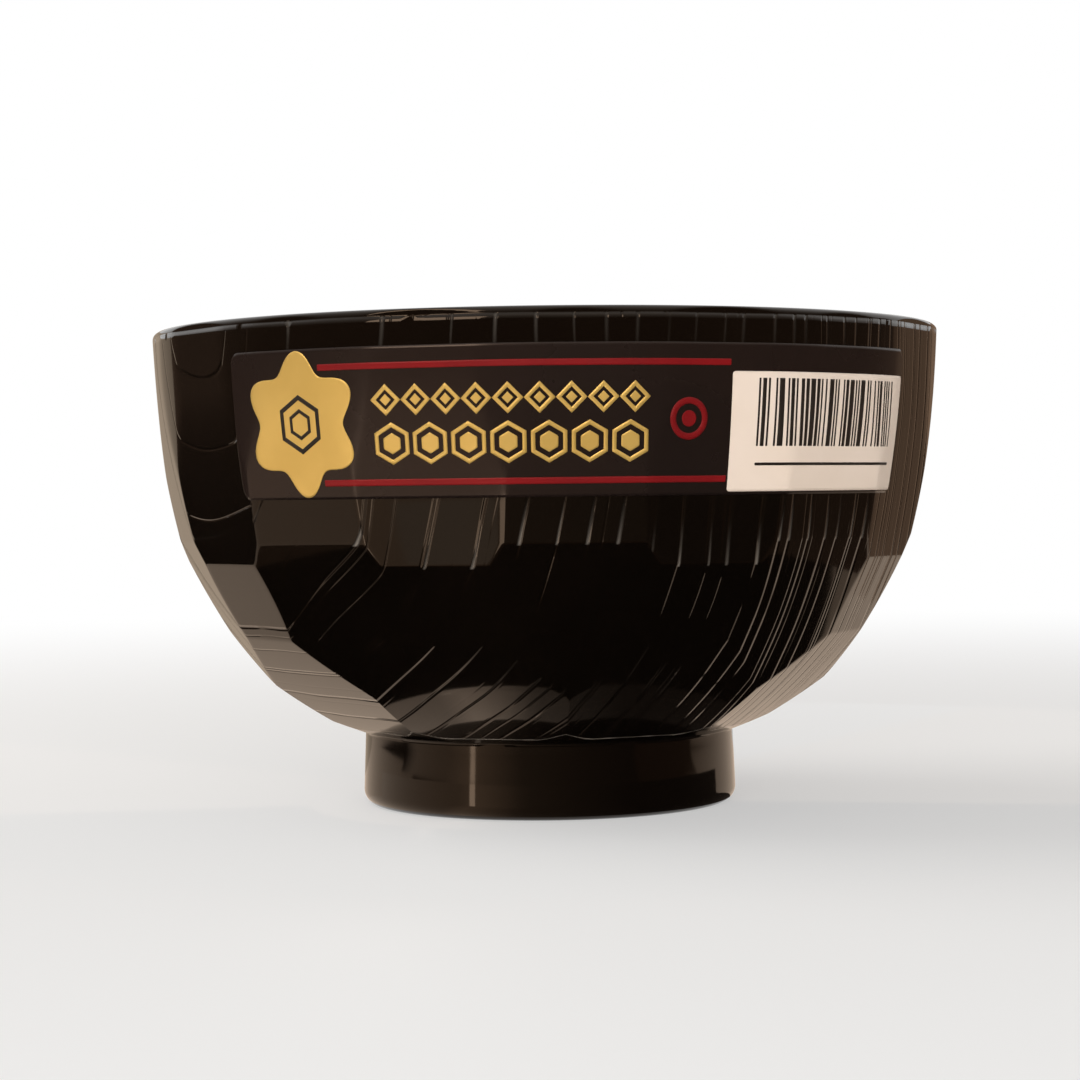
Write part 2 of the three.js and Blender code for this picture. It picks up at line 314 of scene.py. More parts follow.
def makeBlackResin(v):
    sockets = {"IOR": v["ior"], "Specular Tint": (*v["tint"], 1)}
    material, tree, shader, place = newMaterial("blackResin", sockets)
    layFinish(tree, shader, place, v)
    facing = addNode(tree, "ShaderNodeTexCoord").outputs["Normal"]
    turn = radians(v["grooveTurn"])
    across = (cos(turn), sin(turn), 0)
    shared = dict(Place=place, Facing=facing, Across=across, Wander=v["wander"], Crowding=v["grooveCrowding"])
    groove = addGrooves(tree, {**shared, **v["grooves"]})
    hair = addGrooves(tree, {**shared, **v["hairs"]})
    ring = makeRings(tree, place, facing, across, v)
    lengthways = ramp(tree, maths(tree, "ABSOLUTE", dotProduct(tree, facing, across)), *v["ringSpan"])
    groove = maths(tree, "MULTIPLY", groove, maths(tree, "SUBTRACT", 1.0, lengthways))
    ring = maths(tree, "MULTIPLY", ring, lengthways)
    layPaintedHighlights(tree, shader, place, groove, v)
    height = 0.0
    for line, depth in ((groove, "grooveDepth"), (hair, "hairDepth"), (ring, "ringDepth")):
        height = maths(tree, "ADD", height, maths(tree, "MULTIPLY", line, -v[depth]))
    addBump(tree, shader, maths(tree, "MULTIPLY", height, readAttribute(tree, "grain")))
    return material


# Printed film and inks: each has two near colours, a span of roughness and a faint surface grain.
printIor = 1.45
filmFinish = dict(colours=((0.0135, 0.0081, 0.0066), (0.0108, 0.0068, 0.0058)), roughness=(0.22, 0.32),
                  scale=0.05, grain=0.008, metallic=0.0, tint=(0.85, 0.66, 0.54))
goldFinish = dict(colours=((0.760, 0.485, 0.128), (0.685, 0.430, 0.106)), roughness=(0.30, 0.42), scale=0.12,
                  grain=0.012, metallic=0.45, tint=(1.0, 1.0, 1.0))
whiteFinish = dict(colours=((0.835, 0.690, 0.575), (0.805, 0.660, 0.540)), roughness=(0.42, 0.55), scale=0.10,
                   grain=0.006, metallic=0.0, tint=(0.6, 0.6, 0.6))
redFinish = dict(colours=((0.215, 0.005, 0.007), (0.180, 0.004, 0.006)), roughness=(0.32, 0.45), scale=0.15,
                 grain=0.006, metallic=0.0, tint=(0.5, 0.4, 0.35))
inkFinish = dict(colours=((0.022, 0.017, 0.014), (0.016, 0.012, 0.010)), roughness=(0.35, 0.50), scale=0.20,
                 grain=0.006, metallic=0.0, tint=(0.6, 0.5, 0.4))


def makePrint(name, v):
    sockets = {"IOR": printIor, "Metallic": v["metallic"], "Specular Tint": (*v["tint"], 1)}
    material, tree, shader, place = newMaterial(name, sockets)
    grain = layFinish(tree, shader, place, v)
    addBump(tree, shader, maths(tree, "MULTIPLY", grain, v["grain"]))
    return material


blackResin = makeBlackResin(resinFinish)
blackFilm = makePrint("blackFilm", filmFinish)
goldFoil = makePrint("goldFoil", goldFinish)
whiteInk = makePrint("whiteInk", whiteFinish)
redInk = makePrint("redInk", redFinish)
darkInk = makePrint("darkInk", inkFinish)
print("materials made")


# Bowl: a turned blank planed by nine high and nine low columns of flats, each one upright profile. Its points
# are a radius, from the axis to a flat, and a height. The painted highlights in the grooves have shares for a
# few directions, in degrees.
bowlForm = dict(
    pairs=9, turn=4.0, rimRadius=55.0, height=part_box("bowl_body")[1][2] / mm,
    highTip=(37.7, 15.7), highCrease=(50.9, 37.4), highRim=54.8,
    toe=(27.5, 11.05), knee=(44.6, 24.5), lowCrease=(50.2, 34.5), lowRim=54.6,
    tipRunOut=(15.0, 15.0), toeRunOut=(20.0, 10.0),
    upperBulge=0.85, tallBulge=0.9, lowerBulge=0.7,
    neck=(26.0, 10.2), underside=(38.0, 14.6), shoulder=(52.6, 38.0), shoulderBulge=6.0, blankBulge=0.25,
    lipRound=1.0, lipThickness=2.4, wall=2.8, floor=10.6, dish=(16.0, 11.1),
    footRadius=26.3, footEdge=2.0, recessRadius=22.1, recessDepth=7.2, recessFillet=1.6, ringEdge=0.4,
    edgeSoft=0.045, creaseSoft=0.35, neckSoft=0.3, grooveHighlight=0.38, creaseHighlightReach=6.0, lipHighlight=0.15,
    lipHighlightReach=7.0, creaseHighlightShares=((-70, 0.35), (-42, 1.0), (16, 1.0), (40, 0.6)),
    lipHighlightShares=((-70, 0.3), (-40, 1.0), (-5, 1.0), (12, 0.3)),
    mesh=dict(
        columns=(0, 0.13, 0.26, 0.39, 0.52, 0.64, 0.75, 0.85, 0.925, 0.972, 1.0),  # from a flat's middle out
        edgeGap=0.006, lowAt=12.0,  # in radians, and the height whose columns the low rows share
        under=(0.06, 0.2, 0.4, 0.6, 0.78, 0.9, 0.97),  # from the neck to the facets' lower edge
        flare=(0, 0.015, 0.04, 0.09, 0.17, 0.27, 0.39, 0.52, 0.64, 0.76, 0.88),  # from there to firstLevel
        firstLevel=18.0, plainRows=2, hub=1.5,
        wallStep=0.8, creaseGap=0.7, atCrease=(-0.6, -0.35, -0.18, 0, 0.18, 0.35, 0.6)))
halfPair = radians(180 / bowlForm["pairs"])
levelStep = 0.05
pastLip = 2
heights = np.arange(0.0, bowlForm["height"] + pastLip, levelStep)  # at which the profiles are kept


# A curve from a to b that swells to the right of its travel by bulge, as rows of (radius, height).
def swell(a, b, bulge, steps=48):
    a, b = np.array(a), np.array(b)
    along = (b - a) / np.linalg.norm(b - a)
    control = (a + b) / 2 + 2 * bulge * np.array((along[1], -along[0]))
    t = np.linspace(0, 1, steps)[:, None]
    return (1 - t) ** 2 * a + 2 * t * (1 - t) * control + t ** 2 * b


# A profile's radius at every height in heights, with its creases rounded by a short running mean.
def planedLine(points, soft):
    radius = np.interp(heights, points[:, 1], points[:, 0])
    reach = max(int(soft / levelStep), 1)
    window = np.hanning(2 * reach + 3)[1:-1]
    padded = np.pad(radius, reach, mode="reflect", reflect_type="odd")
    return np.convolve(padded, window / window.sum(), mode="valid")


# The profiles of the high flats, the low flats and the blank: swelling curves from crease to crease. A flat
# also runs straight out below its tip or toe, so that it cuts the blank to its end.
def bowlLines(v):
    top = v["height"]
    tip, toe = np.array(v["highTip"]), np.array(v["toe"])
    high = np.vstack((tip - v["tipRunOut"], swell(tip, v["highCrease"], v["tallBulge"]),
                      swell(v["highCrease"], (v["highRim"], top), v["upperBulge"])))
    low = np.vstack((toe - v["toeRunOut"], swell(toe, v["knee"], v["lowerBulge"]),
                     swell(v["lowCrease"], (v["lowRim"], top), v["upperBulge"])))
    blank = np.vstack((v["neck"], swell(v["underside"], v["shoulder"], v["shoulderBulge"]),
                       swell(v["shoulder"], (v["rimRadius"], top - v["lipRound"]), v["blankBulge"])))
    return [planedLine(line, v["creaseSoft"]) for line in (high, low)] + [planedLine(blank, levelStep)]


highLine, lowLine, blankLine = bowlLines(bowlForm)


# Radii at which a line from the axis, at an angle and a height, meets the nearest high and low flat: a flat's
# own distance over the cosine of the turn from its middle.
def flatRadii(angle, height):
    fromHigh = np.mod(angle - radians(bowlForm["turn"]) + halfPair, 2 * halfPair) - halfPair
    high = np.interp(height, heights, highLine) / np.cos(fromHigh)
    low = np.interp(height, heights, lowLine) / np.cos(halfPair - np.abs(fromHigh))
    return high, low


# Radius of the planed wall at an angle and a height: the least of the high flat, the low flat and the
# blank, with a soft minimum so that the edges between flats are slightly rounded.
def wallRadius(angle, height):
    high, low = flatRadii(angle, height)
    blank = np.interp(height, heights, blankLine) + 0 * high
    least = np.minimum(np.minimum(high, low), blank)
    soft = bowlForm["edgeSoft"]
    spread = sum(np.exp((least - each) / soft) for each in (high, low, blank))
    return least - soft * np.log(spread)


# Angles of the mesh's columns at each height, one row per height. They follow the edges between flats,
# with the columns drawn together there.
def columnAngles(height):
    share = np.array(bowlForm["mesh"]["columns"])
    gap = bowlForm["mesh"]["edgeGap"]
    ratio = np.interp(height, heights, lowLine) / np.interp(height, heights, highLine)
    edge = np.arctan((ratio - np.cos(halfPair)) / np.sin(halfPair))
    edge = np.clip(edge, gap, halfPair - gap)[:, None]
    half = np.hstack((edge * share, halfPair - (halfPair - edge) * share[-2::-1]))
    pair = np.hstack((half, 2 * halfPair - half[:, -2:0:-1]))
    starts = radians(bowlForm["turn"]) + 2 * halfPair * np.arange(bowlForm["pairs"])
    return (starts[None, :, None] + pair[:, None, :]).reshape(len(height), -1)


# Height of the facets' lower edge at each angle: the toe, or higher where the flat runs out on the cone.
def lowerEdge(angle):
    v = bowlForm
    climb = heights[(heights >= v["toe"][1]) & (heights < v["underside"][1])]
    cone = np.interp(climb, heights, blankLine)
    flat = flatRadii(angle[:, None], climb)[1]
    return climb[np.argmax(cone >= flat, axis=1)]


# Rows on an arc of a circle in the (radius, height) plane, from one angle to another in degrees.
def arcRows(centre, radius, start, stop, steps):
    a = np.radians(np.linspace(start, stop, steps))
    return np.stack((centre[0] + radius * np.cos(a), centre[1] + radius * np.sin(a)), axis=1)


# The underside from the middle of the recess out to the neck, as rows of (radius, height): straight lines
# with round edges between them.
def footRows(v):
    inner, outer, edge = v["recessRadius"], v["footRadius"], v["footEdge"]
    depth, fillet, ring = v["recessDepth"], v["recessFillet"], v["ringEdge"]
    neckBelow = (v["neck"][0], v["neck"][1] - v["neckSoft"])
    return np.vstack((
        np.linspace((v["mesh"]["hub"], depth), (inner - fillet, depth), num=7)[:-1],
        arcRows((inner - fillet, depth - fillet), fillet, 90, 0, steps=7),
        np.linspace((inner, depth - fillet), (inner, ring), num=5)[1:-1],
        arcRows((inner + ring, ring), ring, 180, 270, steps=5),
        np.linspace((inner + ring, 0), (outer - edge, 0), num=4)[1:-1],
        arcRows((outer - edge, edge), edge, -90, 0, steps=10),
        np.linspace((outer, edge), neckBelow, num=8)[1:],
        v["neck"]))


# The inside from the mouth down to near the axis: cubic curves, smoothly joined, through points that stand
# the wall's thickness in from the deepest flats at toe, knee and crease.
def insideRows(v):
    levels = np.array((v["toe"][1], v["knee"][1], v["highCrease"][1]))
    deepest = np.minimum(np.interp(levels, heights, highLine), np.interp(levels, heights, lowLine))
    planed = np.stack((deepest, levels), axis=1)
    outside = np.vstack(((0, v["recessDepth"]), planed, (v["rimRadius"], v["height"])))
    along = outside[2:] - outside[:-2]
    along /= np.linalg.norm(along, axis=1)[:, None]
    offset = outside[1:-1] + v["wall"] * np.stack((-along[:, 1], along[:, 0]), axis=1)
    mouth = (v["rimRadius"] - v["lipThickness"], v["height"] - v["lipRound"])
    knots = np.vstack(((0, v["floor"]), v["dish"], offset, mouth))
    slopes = np.gradient(knots, axis=0)
    slopes[[0, -1]] /= 2
    t = np.linspace(0, 1, num=14)[:-1, None, None]
    a, b, ma, mb = knots[:-1], knots[1:], slopes[:-1], slopes[1:]
    curve = (2 * a - 2 * b + ma + mb) * t ** 3 + (3 * b - 3 * a - 2 * ma - mb) * t ** 2 + ma * t + a
    return curve.transpose(1, 0, 2).reshape(-1, 2)[:0:-1]


# Heights of the wall's rows: even steps, with more rows where a crease turns.
def wallHeights(v, start):
    mesh = v["mesh"]
    stop = v["height"] - v["lipRound"]
    creases = np.array((v["knee"][1], v["lowCrease"][1], v["highCrease"][1]))
    atCrease = (creases[:, None] + mesh["atCrease"]).ravel()
    even = np.arange(start, stop, mesh["wallStep"])
    even = even[np.abs(even[:, None] - creases).min(axis=1) > mesh["creaseGap"]]
    return np.unique(np.concatenate((even, atCrease, (stop,))))


# How strong the painted highlight in the grooves is: most at the crease of the flat that they lie on, and
# less with the square of the height above it, and evenly less from the lip downwards. Shares for a few
# directions say how much of both there is round the bowl, which gets most on the front.
def grooveHighlightShare(angle, height):
    v = bowlForm
    high, low = flatRadii(angle, height)
    above = height - np.where(high < low, v["highCrease"][1], v["lowCrease"][1])
    share = np.clip(1 - above / v["creaseHighlightReach"], 0, 1) ** 2
    below = np.clip(1 - (v["height"] - height) / v["lipHighlightReach"], 0, 1)
    direction = np.degrees(np.mod(angle + np.pi, 2 * np.pi) - np.pi)
    grooveHighlight = v["grooveHighlight"] * sharesAt(direction, v["creaseHighlightShares"])
    lipHighlight = v["lipHighlight"] * sharesAt(direction, v["lipHighlightShares"])
    return np.where(above > -v["creaseSoft"], grooveHighlight * share, 0) + lipHighlight * below


# The bowl's grid of angles, heights and radii, and the rows of the facets' lower edge and the lip. Its rows
# are rings round the axis, from the middle of the recess over the foot, up the wall, over the lip and down
# the inside.
def bowlGrid(v):
    mesh, top, rim, lip = v["mesh"], v["height"], v["rimRadius"], v["lipRound"]
    neckRadius, neckHeight = v["neck"]
    lowAngles = columnAngles(np.array((mesh["lowAt"],)))[0]
    edgeHeight = lowerEdge(lowAngles)
    foot = footRows(v)
    under = neckHeight + (edgeHeight - neckHeight) * np.array(mesh["under"])[:, None]
    flare = edgeHeight + (mesh["firstLevel"] - edgeHeight) * np.array(mesh["flare"])[:, None]
    levels = wallHeights(v, mesh["firstLevel"])
    outerLip = arcRows((rim - lip, top - lip), lip, 0, 90, steps=9)[1:]
    innerLip = arcRows((rim - v["lipThickness"] + lip, top - lip), lip, 90, 180, steps=9)
    plain = np.vstack((innerLip, insideRows(v)))

    upAngles = columnAngles(levels)
    angle = np.vstack((
        np.tile(lowAngles, (len(foot) + len(under) + len(flare), 1)), upAngles,
        np.tile(upAngles[-1], (len(outerLip) + len(plain), 1))))
    upLevels = np.concatenate((levels, outerLip[:, 1], plain[:, 1]))
    level = np.vstack((
        np.repeat(foot[:, 1:], len(lowAngles), axis=1), under, flare,
        np.repeat(upLevels[:, None], len(lowAngles), axis=1)))

    # the wall's radii, and over them those of the turned rows
    neckRow = len(foot)
    edgeRow = neckRow + len(under)
    lipRow = edgeRow + len(flare) + len(levels)
    plainRow = lipRow + len(outerLip)
    radius = wallRadius(angle, level)
    radius[:neckRow] = foot[:, :1]
    radius[neckRow:edgeRow] = np.maximum(radius[neckRow:edgeRow], neckRadius)
    radius[lipRow:plainRow] = np.minimum(radius[lipRow:plainRow], outerLip[:, :1])
    radius[plainRow:] = plain[:, :1]
    return angle, level, radius, edgeRow, lipRow


# Triangles from a grid's first and last rows to a pole each. The poles follow the grid's own points.
def poleFans(rows, columns):
    first = np.arange(columns)
    after = (first + 1) % columns
    lastRow = (rows - 1) * columns
    pole = np.full(columns, rows * columns)
    bottom = np.stack((pole, after, first), axis=1)
    top = np.stack((first + lastRow, after + lastRow, pole + 1), axis=1)
    return bottom.tolist() + top.tolist()


def makeBowl(v):
    angle, level, radius, edgeRow, lipRow = bowlGrid(v)
    rows, columns = radius.shape
    poles = np.array(((0, 0, v["recessDepth"]), (0, 0, v["floor"])))
    points = np.vstack((aroundAxis(angle, radius, level).reshape(-1, 3), poles))
    faces = gridFaces(rows, columns, wrap=True).tolist() + poleFans(rows, columns)
    piece = addPiece("bowl", points, faces, blackResin)

    # the grooves run on the planed wall and stop at the lip and at the facets' lower edge
    planed = np.zeros((rows, columns))
    planed[edgeRow + v["mesh"]["plainRows"]:lipRow] = 1
    # the facets' lower edge row carries a painted highlight, and the grooves near the creases and lip painted
    # glints
    edge = np.zeros((rows, columns))
    edge[edgeRow] = 1
    for name, value in (("grain", planed), ("edge", edge), ("grooveHighlight", grooveHighlightShare(angle, level) * planed)):
        addAttribute(piece, name, np.concatenate((value.ravel(), (0, 0))))  # with 0 at both poles
    return piece


bowl = makeBowl(bowlForm)
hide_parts("bowl_body")
print("bowl made:", len(bowl.data.polygons), "faces")


# Label: a film on the wall, with printed layers on it. Along is measured on the rim's circle from the
# front, and up is the height above the table.
labelFilm = dict(left=-44.95, right=56.55, bottom=43.0, top=61.7, corner=1.5, thickness=0.14)
inkLift = 0.19
inkThickness = 0.05
overprint = dict(lift=inkLift + 0.03, thickness=0.03)  # for print that lies on print


# Points of a flat layout wrapped on to the wall, a lift out from it.
def wrapped(along, up, lift):
    angle = along / bowlForm["rimRadius"]
    return aroundAxis(angle, wallRadius(angle, up) + lift, up)


# A printed sheet from grids of along and up, shaped (copies, rows, columns). The grid is its face, and
# its thickness lies behind that.
def addPrint(name, along, up, material, slot, lift=inkLift, thickness=inkThickness, wrap=False):
    copies, rows, columns = along.shape
    faces = gridFaces(rows, columns, wrap)
    faces = (faces[None] + (np.arange(copies) * rows * columns)[:, None, None]).reshape(-1, 4)
    piece = addPiece(name, wrapped(along, up, lift), faces.tolist(), material)
    back = piece.modifiers.new("thickness", "SOLIDIFY")
    back.thickness = thickness * mm
    back.offset = -1
    return piece


# One value, or one per copy, shaped so that each copy gets its own grid.
def stacked(value):
    return np.atleast_1d(np.asarray(value, float))[:, None, None]


# Upright plates with rounded corners: columns from left to right, drawn in near the ends by the corner, with
# a few more columns there, crowded towards the end.
def plates(left, right, bottom, top, corner, rows, columns, cornerColumns=6, crowding=1.6):
    left, right, bottom, top = (stacked(x) for x in (left, right, bottom, top))
    s = np.linspace(0, 1, columns)
    bend = np.linspace(0, 1, cornerColumns, endpoint=False) ** crowding
    width = (right - left).max()
    ends = np.concatenate((bend * corner / width, np.clip(s, corner / width, 1 - corner / width),
                           1 - bend[::-1] * corner / width))
    s = np.unique(np.round(ends, 9))
    t = np.linspace(0, 1, rows)[:, None]
    along = left + (right - left) * s + 0 * t
    short = np.clip(corner - np.minimum(along - left, right - along), 0, corner)
    draw = corner - np.sqrt(np.maximum(corner ** 2 - short ** 2, 0))
    return along, bottom + draw + (top - bottom - 2 * draw) * t


# Rings between two outlines of the same form: a polygon of so many sides, or a circle with no sides.
def rings(along, up, outer, inner, sides=0, turn=0.0, steps=48, rows=3):
    a = np.linspace(0, -2 * np.pi, steps, endpoint=False)
    reach = np.ones(steps)
    if sides:
        half = np.pi / sides
        reach = np.cos(half) / np.cos(np.mod(a - turn, 2 * half) - half)
    share = np.linspace(0, 1, rows)[:, None]
    span = (inner + (outer - inner) * share) * reach
    return stacked(along) + span * np.cos(a), stacked(up) + span * np.sin(a)


# Solid figures: a square grid drawn out to an outline, whose reach is a function of the turn from upright.
def solids(along, up, reach, steps):
    s = np.linspace(-1, 1, steps)
    across, upward = np.meshgrid(s, s)
    turn = np.arctan2(across, upward)
    out = np.maximum(np.abs(across), np.abs(upward)) * reach(turn)
    return stacked(along) + out * np.sin(turn), stacked(up) + out * np.cos(turn)


def makeFilm(v):
    sheet = plates(v["left"], v["right"], v["bottom"], v["top"], v["corner"], rows=44, columns=250)
    film = addPrint("printed_film", *sheet, blackFilm, "black_film", lift=v["thickness"],
                    thickness=v["thickness"])
    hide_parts("label_film")


makeFilm(labelFilm)


# Badge: a rosette of six rounded points with a nested hexagon on it.
badgeForm = dict(along=-33.15, up=52.35, radius=8.0, lobes=6, depth=1.15, motif=((3.7, 3.05), (1.95, 1.45)))


# Reach of the rosette's outline, which swells and shrinks once for each point, by the turn from upright.
def badgeReach(turn):
    return badgeForm["radius"] + badgeForm["depth"] * np.cos(badgeForm["lobes"] * turn)


def makeBadge(v):
    rosette = solids(v["along"], v["up"], badgeReach, steps=61)
    badge = addPrint("badge_foil", *rosette, goldFoil, "gold_foil")
    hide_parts("gold_badge")
    for number, (outer, inner) in enumerate(v["motif"], start=1):
        hexagon = rings(v["along"], v["up"], outer, inner, sides=6, turn=np.pi / 6, steps=60)
        addPrint(f"badge_motif_{number}", *hexagon, darkInk, "black_film", wrap=True, **overprint)


makeBadge(badgeForm)


# Rules: two red lines from the badge's edge to the white panel.
ruleForm = dict(right=23.85, thickness=0.8, corner=0.1, clearance=0.3,
                heights=dict(upper_rule=59.3, lower_rule=45.0))


def makeRules(v):
    half = v["thickness"] / 2
    turn = np.linspace(0, np.pi, num=721)
    edge = badgeReach(turn)
    for name, up in v["heights"].items():
        rise = up - badgeForm["up"]
        nearby = np.abs(edge * np.cos(turn) - rise) < v["thickness"]
        left = badgeForm["along"] + (edge * np.sin(turn))[nearby].max() + v["clearance"]
        line = plates(left, v["right"], up - half, up + half, v["corner"], rows=5, columns=130)
        rule = addPrint(f"red_{name}", *line, redInk, "red_ink")
        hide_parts(name)


makeRules(ruleForm)


# White panel with upright bars of a few widths. The bars stand for nothing: their widths are drawn by lot, as
# so many modules each, with a share of the draws for each width.
panelForm = dict(left=24.15, right=56.15, bottom=43.4, top=58.2, corner=0.4,
                 barsFrom=27.9, barsTo=53.9, barsBottom=49.0, barsTop=57.4, module=0.27,
                 seed=11, draws=96, widths=(1, 2, 3), shares=(0.55, 0.3, 0.15),
                 line=(46.6, 46.95), lineCorner=0.1)


def makePanel(v):
    sheet = plates(v["left"], v["right"], v["bottom"], v["top"], v["corner"], rows=36, columns=80)
    panel = addPrint("panel_ground", *sheet, whiteInk, "white_ink")
    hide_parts("white_panel")
    draw = np.random.default_rng(v["seed"])
    widths = draw.choice(v["widths"], size=v["draws"], p=v["shares"]) * v["module"]
    edges = v["barsFrom"] + np.concatenate(((0,), np.cumsum(widths)))
    left, right = edges[0:-1:2], edges[1::2]
    keep = right < v["barsTo"]
    left, right = stacked(left[keep]), stacked(right[keep])
    s = np.linspace(0, 1, num=3)
    t = np.linspace(0, 1, num=24)[:, None]
    along = left + (right - left) * s + 0 * t
    up = v["barsBottom"] + (v["barsTop"] - v["barsBottom"]) * t + 0 * along
    addPrint("panel_bars", along, up, darkInk, "black_film", **overprint)
    line = plates(v["barsFrom"], v["barsTo"], *v["line"], v["lineCorner"], rows=3, columns=60)
    addPrint("panel_line", *line, darkInk, "black_film", **overprint)


makePanel(panelForm)


# Gold ornament: a row of nested lozenges over a row of nested hexagons, and a red double ring beside them.
ornamentForm = dict(
    start=-22.3, stop=13.05,
    rows=dict(lozenge=dict(sides=4, count=9, up=55.1, frame=(1.95, 1.25), core=0.72),
              hexagon=dict(sides=6, count=7, up=49.75, frame=(2.6, 2.0), core=1.3)),
    ringPlace=(18.2, 52.4), ring=(2.6, 1.8), ringCore=1.0)


# Reach of a polygon with a corner upright, as a function of the turn from upright.
def polygonReach(radius, sides):
    half = np.pi / sides
    return lambda turn: radius * np.cos(half) / np.cos(np.mod(turn, 2 * half) - half)


def makeOrnament(v):
    for name, row in v["rows"].items():
        count = row["count"]
        pitch = (v["stop"] - v["start"]) / count
        along = v["start"] + pitch * (np.arange(count) + 0.5)
        up = np.full(count, row["up"])
        frames = rings(along, up, *row["frame"], sides=row["sides"], turn=np.pi / 2)
        addPrint(f"gold_{name}s", *frames, goldFoil, "gold_foil", wrap=True)
        cores = solids(along, up, polygonReach(row["core"], row["sides"]), steps=13)
        addPrint(f"gold_{name}_cores", *cores, goldFoil, "gold_foil")
    addPrint("red_ring", *rings(*v["ringPlace"], *v["ring"]), redInk, "red_ink", wrap=True)
    disc = solids(*v["ringPlace"], lambda turn: v["ringCore"] + 0 * turn, steps=17)
    addPrint("red_ring_core", *disc, redInk, "red_ink")


makeOrnament(ornamentForm)
print("label made")


# Stage: a pale floor that turns white all round, soft lamps, and cards that only reflections see
floorForm = dict(size=4.0, colour=(0.80, 0.775, 0.745), roughness=0.75, paleness=0.45, whiteFrom=0.08,
                 whiteTo=0.60)


def addStage(name, points, faces, material):
    mesh = bpy.data.meshes.new(name)
    mesh.from_pydata(points, [], faces)
    mesh.materials.append(material)
    stage = bpy.data.objects.new(name, mesh)
    scene.collection.objects.link(stage)
    return stage


# 1 for what the camera sees, directly, in a reflection or through glass, and 0 for the light that falls.
def seenRays(tree):
    rays = addNode(tree, "ShaderNodeLightPath").outputs
    return maths(tree, "MAXIMUM", maths(tree, "MAXIMUM", rays["Is Camera Ray"], rays["Is Glossy Ray"]),
                 rays["Is Transmission Ray"])


def makeFloor(v):
    sockets = {"Base Color": (*v["colour"], 1), "Roughness": v["roughness"]}
    material, tree, shader, place = newMaterial("paleFloor", sockets)
    away = addNode(tree, "ShaderNodeVectorMath", {0: place}, operation="LENGTH").outputs["Value"]
    white = addNode(tree, "ShaderNodeEmission", {"Color": (1, 1, 1, 1), "Strength": 1.0})
    fade = ramp(tree, away, v["whiteFrom"] / mm, v["whiteTo"] / mm, v["paleness"], 1.0)
    share = maths(tree, "MULTIPLY", fade, seenRays(tree))
    mix = addNode(tree, "ShaderNodeMixShader", {0: share, 1: shader.outputs[0], 2: white.outputs[0]})
    tree.links.new(mix.outputs[0], tree.nodes["Material Output"].inputs["Surface"])
    half = v["size"] / 2
    corners = [(-half, -half, 0), (half, -half, 0), (half, half, 0), (-half, half, 0)]
    addStage("floor", corners, [(0, 1, 2, 3)], material)


# Cards round the bowl, each part of a ring from one (radius, height) to another, between two directions in
# degrees from the front, positive to the right. Those on the floor lie just above it, with the sheen and its
# glint over the rest. A card with two colours fades from its start to its stop. The sheen fades along its
# ring instead, by the shares given for a few directions, and so do the ring and the skirt at the foot, which
# the foot sees at a sharper turn. The sky over the front wall fades to white at its ends too.
cardForm = dict(
    low=0.0005, foot=0.0257, near=0.034, middle=0.09, leftSide=0.14, rightSide=0.17, far=1.3,
    top=0.5, sideTop=0.3, sky=(0.5, 1.5), skyFade=34, lamp=0.8, lampLow=0.37, lampHigh=1.3,
    standLow=0.012, standHigh=0.028, skirt=0.0045, skirtGlint=0.03397, nearTurn=1.7, nearEnd=-84,
    sheenFrom=0.10, sheenTo=0.42, glintTwist=-4.4,
    sheenShares=((-92, 0.0), (-84, 0.65), (-60, 0.6), (-46, 1.0), (-16, 0.18), (20, 0.06), (50, 0.0)),
    colours=dict(
        black=(0.012, 0.008, 0.006), dim=(0.045, 0.034, 0.027), dark=(0.13, 0.082, 0.056),
        brown=(0.29, 0.185, 0.120), pale=(0.53, 0.42, 0.315), tan=(0.80, 0.63, 0.49), grey=(0.85, 0.78, 0.70),
        white=(1.0, 1.0, 1.0), sheen=(1.30, 1.05, 0.84), bright=(4.0, 3.6, 3.2), glint=(6.0, 5.4, 4.8)))


# Each card's span of directions, its start, its stop and its one or two colours.
def cardTable(v):
    low, far, foot, near, middle = v["low"], v["far"], v["foot"], v["near"], v["middle"]
    leftSide, rightSide = v["leftSide"], v["rightSide"]
    skirt, skirtGlint = v["skirt"], v["skirtGlint"]
    standLow, standHigh = v["standLow"], v["standHigh"]
    sheenFrom, sheenTo = v["sheenFrom"], v["sheenTo"]
    return dict(
        frontRing=((-82, 80), (foot, low), (near, low), "dim", "sheen"),
        frontSkirt=((-82, 80), (near, low), (near, skirt), "dim", "sheen"),
        footGlint=((-30.2, -28.0), (skirtGlint, low), (skirtGlint, skirt), "glint"),
        frontNear=((-82, 80), (near, low), (middle, low), "black"),
        frontFar=((-82, 90), (middle, low), (far, low), "dark"),
        leftTan=((-134, -82), (foot, low), (leftSide, low), "tan"),
        leftDark=((-134, -82), (leftSide, low), (far, low), "black", "dark"),
        backLeft=((-174, -134), (foot, low), (far, low), "pale"),
        leftWall=((-174, -134), (far, low), (far, v["sideTop"]), "pale"),
        rightNear=((80, 90), (foot, low), (middle, low), "tan"),
        rightTan=((90, 150), (foot, low), (rightSide, low), "tan"),
        rightDark=((90, 118), (rightSide, low), (far, low), "dark"),
        rightBrown=((118, 174), (rightSide, low), (far, low), "brown"),
        rightWall=((118, 174), (far, low), (far, v["sideTop"]), "brown"),
        frontWall=((-134, 118), (far, low), (far, v["top"]), "dark"),
        frontSky=((-134, 118), (far, v["top"]), v["sky"], "dark", "white"),
        lipLamp=((-47, -22), (v["lamp"], v["lampLow"]), (v["lamp"], v["lampHigh"]), "glint"),
        leftStand=((-28, -18.5), (middle, standLow), (middle, standHigh), "grey"),
        brightStand=((-17, -6), (middle, standLow), (middle, standHigh), "bright"),
        sheen=((-92, 50), (sheenFrom, 2 * low), (sheenTo, 2 * low), "dim", "sheen"),
        glint=((-43.2, -40.2), (sheenFrom, 3 * low), (sheenTo, 3 * low), "glint"))


